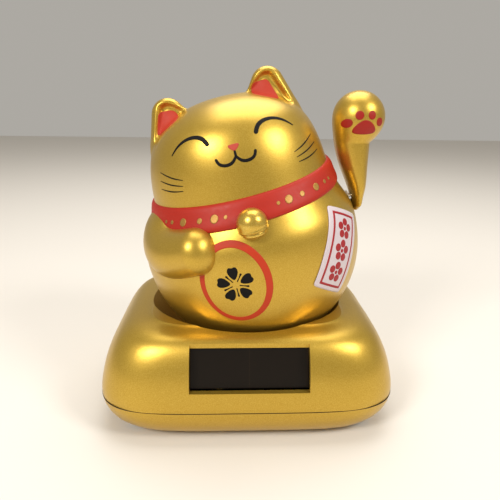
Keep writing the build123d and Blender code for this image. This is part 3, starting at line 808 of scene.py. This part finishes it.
def label_piece(name, shapes, material, lift, wall):
    """A piece of the label from flat shapes in mm, wrapped on the flank."""
    grids = [in_world(on_label(shape[..., 0], shape[..., 1], lift)) for shape in shapes]
    piece = surface(name, grids, material, "cat", wall)
    return piece


def framed(half_across, half_along, width):
    """A rectangular frame drawn as one closed band with mitred corners."""
    corner = np.array([(-1, -1), (1, -1), (1, 1), (-1, 1), (-1, -1)])
    loop = np.concatenate([np.linspace(corner[k], corner[k + 1], 24, endpoint=False) for k in range(4)])
    loop = np.concatenate([loop, loop[:1]])
    inset = np.linspace(0, width, 4)[:, None, None]
    return loop * (np.array([half_across, half_along]) - inset)


def print_blossom(middle, size):
    """Five round petals about a dot, printed as filled shapes."""
    shapes, t = [], np.linspace(0, 2 * math.pi, 41)
    for k in range(5):
        a = 2 * math.pi * k / 5
        petal = np.array(middle) + size * 0.62 * np.array([math.sin(a), math.cos(a)])
        shapes.append(filled(petal + size * 0.34 * np.stack([np.cos(t), np.sin(t)], -1), 5))
    shapes.append(filled(np.array(middle) + size * 0.17 * np.stack([np.cos(t), np.sin(t)], -1), 4))
    return shapes


corners = np.array([(-1, -1), (1, -1), (1, 1), (-1, 1)]) * LABEL_HALF
strip = filled(rounded(corners, 1.2), 24)
label = label_piece("fortune_label_strip", [strip], LABEL_WHITE, 0.0, LABEL_THICK)
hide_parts("fortune_label")
prints = [framed(LABEL_HALF[0] - FRAME_INSET[0], LABEL_HALF[1] - FRAME_INSET[1], FRAME_WIDE)]
for along in BLOSSOMS_ALONG:
    prints += print_blossom((0, along), BLOSSOM_SIZE)
label_piece("label_print", prints, PRINT_RED, 0.05, 0.1)

# ---- raised arm --------------------------------------------------------------------------
# Two thin ABS halves glued front to back: a flat-sided forearm that narrows to a rounded point
# at the shoulder and ends in a ball of a paw, with red sprayed pads on its palm.
# Height, inner side, outer side and half depth, from the foot up:
ARM_SECTIONS = ((-4.6, 35.4, 36.7, 2.6), (-3.4, 35.3, 37.5, 4.2), (-1, 35.2, 38.5, 5.3), (2, 35.0, 39.8, 6.0),
                (7, 34.2, 41.3, 6.6), (12, 33.4, 42.7, 6.8), (18, 33.2, 44.4, 6.8), (24, 33.6, 46.0, 6.6))
PAW_BALL = np.array([41.9, -0.8, 24.2])
PAW_R = 8.1
ARM_WALL = 1.3
PALM_TURN = math.radians(12)     # the palm looks a little outwards,
PALM_SPIN = -0.9 * LEAN          # and its pads stand level while the cat leans
PALM_AT = (-1.7, -1.2)
PAD_RED = paint("red sprayed pads", "#96180b", 0.45)


ARM_FOOT = ARM_SECTIONS[0][0] - 0.5
ARM_TOP = PAW_BALL[2] + PAW_R
ARM_SQUARE = 2.3                 # power of the forearm's rounded-box section
WRIST_Z = 18                     # above this the forearm fades into the paw's ball
WRIST_FADE, WRIST_MOVE = 11, 12  # over these heights, in thickness and in place
WRIST_BLEND = 3.6


def arm_radius(z, turn):
    """The arm's middle line and its radius about it by height and azimuth: a rounded-box forearm
    with a closed foot, softly joined to the paw's ball."""
    levels = np.array(ARM_SECTIONS)
    level = np.clip(z, levels[0, 0], levels[-1, 0])
    inner, outer, deep = (curve_through(levels[:, 0], levels[:, k], False)(level) for k in (1, 2, 3))
    top = ease((z - WRIST_Z) / WRIST_MOVE)
    middle = (inner + outer) / 2 * (1 - top) + PAW_BALL[0] * top
    depth = PAW_BALL[1] * top
    foot = np.sqrt(np.clip((z - ARM_FOOT) / 2.0, 0, 1))
    fade = np.sqrt(np.clip(1 - (np.maximum(z - WRIST_Z, 0) / WRIST_FADE) ** 2, 0, 1))
    forearm = rounded_square(turn, ((outer - inner) / 2, deep), ARM_SQUARE) * fade * foot
    to_x, to_y = PAW_BALL[0] - middle, PAW_BALL[1] - depth
    across = to_x * np.sin(turn) - to_y * np.cos(turn)
    inside = np.maximum(PAW_R ** 2 - (z - PAW_BALL[2]) ** 2, 0) - across ** 2
    far = to_x * np.cos(turn) + to_y * np.sin(turn) + np.sqrt(np.maximum(inside, 0))
    ball = np.where(inside > 0, np.maximum(far, 0), 0)
    r = soft_max(forearm, ball, WRIST_BLEND * ease((ARM_TOP - z) / 6) + 1e-6)
    closed = (z >= ARM_TOP - 1e-6) | (z <= ARM_FOOT + 1e-6)
    return middle, depth, np.where(closed, 0, r)


def arm_skin(first, last, columns=70):
    """Grid of the arm's skin: even rows up the forearm, then rows even by angle over the paw."""
    low = np.linspace(ARM_SECTIONS[0][0], PAW_BALL[2] - 6, 70, endpoint=False)
    ball = PAW_BALL[2] + PAW_R * np.sin(np.linspace(-math.asin(6 / PAW_R), math.pi / 2, 90))
    height = np.concatenate([np.full(1, ARM_FOOT), low, ball])
    z, turn = np.meshgrid(height, np.linspace(first, last, columns), indexing="ij")
    middle, depth, r = arm_radius(z, turn)
    return np.stack([middle + r * np.cos(turn), depth + r * np.sin(turn), z], -1)


for name, first, last in (("arm_front_shell", math.pi, 2 * math.pi), ("arm_back_shell", 0, math.pi)):
    shell = surface("painted_" + name, [in_world(arm_skin(first, last))], GOLD, "arm", ARM_WALL)
    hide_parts(name)


def on_paw(across, up, lift):
    """Palm places in mm laid on the front of the paw: turned outwards by PALM_TURN, then halving
    finds the skin behind each."""
    x = across * math.cos(PALM_SPIN) - up * math.sin(PALM_SPIN) + PALM_AT[0]
    z = across * math.sin(PALM_SPIN) + up * math.cos(PALM_SPIN) + PALM_AT[1] + PAW_BALL[2]
    x = PAW_BALL[0] + PAW_R * np.sin(np.arcsin(np.clip(x / PAW_R, -1, 1)) + PALM_TURN)
    middle, depth, _ = arm_radius(z, 0 * z)
    near, far = np.full(np.shape(x), -12.0), np.full(np.shape(x), PAW_BALL[1])
    for _ in range(24):
        y = (near + far) / 2
        outside = np.hypot(y - depth, x - middle) > arm_radius(z, np.arctan2(y - depth, x - middle))[2]
        near, far = np.where(outside, y, near), np.where(outside, far, y)
    point = np.stack([x, y, z], axis=-1)
    way = point - PAW_BALL
    return point + lift * way / np.linalg.norm(way, axis=-1, keepdims=True)


def pad_outline(middle, half_across, half_up, heel=0.0):
    """A round pad; heel presses its lower edge in and pulls the sides down, as on a palm."""
    t = np.linspace(0, 2 * math.pi, 65)
    x = half_across * np.cos(t) * (1 - heel * 0.3 * np.sin(t))
    z = half_up * np.sin(t) - heel * 0.55 * half_up * np.cos(t) ** 2
    return filled(np.stack([middle[0] + x, middle[1] + z], -1), 10)


TOES = ((-4.7, -0.2), (-1.8, 2.0), (1.9, 2.0), (4.8, 0.0))
pads = [pad_outline(toe, 1.2, 1.3) for toe in TOES]
pads.append(pad_outline((0.0, -1.5), 3.4, 2.1, 0.55))
grids = [in_world(on_paw(pad[..., 0], pad[..., 1], PAINT_MM)) for pad in pads]
surface("paw_pads", grids, PAD_RED, "arm", COAT_WALL)

# ---- camera, light and floor -------------------------------------------------------------
# A pale table under two soft boxes, one at each side in front, and a wide one overhead, with
# pale surroundings.
EYE_POINT = (-5.8, -156.6, 97.3)
YAW, PITCH, ROLL = (math.radians(a) for a in (2.51, 17.09, 0.78))
LENS_MM = 34.85
AIM_HEIGHT = 0.06        # metres above the table that the lights point at


def look():
    """Camera turned right by YAW, down by PITCH and rolled by ROLL."""
    forward = np.array([math.sin(YAW) * math.cos(PITCH), math.cos(YAW) * math.cos(PITCH), -math.sin(PITCH)])
    right = np.array([math.cos(YAW), -math.sin(YAW), 0])
    up = np.cross(right, forward)
    across = right * math.cos(ROLL) + up * math.sin(ROLL)
    above = up * math.cos(ROLL) - right * math.sin(ROLL)
    lens = bpy.data.cameras.new("camera")
    lens.lens = LENS_MM
    lens.clip_start = 0.005
    view = bpy.data.objects.new("camera", lens)
    scene.collection.objects.link(view)
    turn = Matrix([across, above, -forward]).transposed().to_4x4()
    view.matrix_world = Matrix.Translation([v * METRE for v in EYE_POINT]) @ turn
    scene.camera = view


def soft_box(name, place, size, power):
    """Square soft box aimed at the cat."""
    lamp = bpy.data.lights.new(name, "AREA")
    lamp.size = size
    lamp.energy = power
    lamp.color = (1.0, 0.985, 0.96)
    box = bpy.data.objects.new(name, lamp)
    scene.collection.objects.link(box)
    away = np.array(place) - (0, 0, AIM_HEIGHT)
    away /= np.linalg.norm(away)
    side = np.cross((0, 0, 1), away)
    side /= np.linalg.norm(side)
    aim = Matrix([side, np.cross(away, side), away]).transposed().to_4x4()
    box.matrix_world = Matrix.Translation(place) @ aim


look()
soft_box("soft box left", (-0.34, -0.40, 0.42), 0.17, 2.5)
soft_box("soft box right", (0.42, -0.30, 0.46), 0.17, 2.1)
soft_box("overhead light", (0.03, 0.18, 0.62), 0.5, 3.0)
sky = bpy.data.worlds.new("pale room")
sky.use_nodes = True
sky.node_tree.nodes["Background"].inputs["Color"].default_value = linear("#f4efe6")
sky.node_tree.nodes["Background"].inputs["Strength"].default_value = 0.46
scene.world = sky
scene.view_settings.view_transform = "Standard"

TABLE_HALF = 1.2
table_mesh = bpy.data.meshes.new("table")
table_mesh.from_pydata([(-TABLE_HALF, -TABLE_HALF, 0), (TABLE_HALF, -TABLE_HALF, 0),
                        (TABLE_HALF, TABLE_HALF, 0), (-TABLE_HALF, TABLE_HALF, 0)], [], [(0, 1, 2, 3)])
table_mesh.materials.append(moulded("pale laminate", "#dcd6cd", 0.6, 3.0))
table = bpy.data.objects.new("table", table_mesh)
scene.collection.objects.link(table)
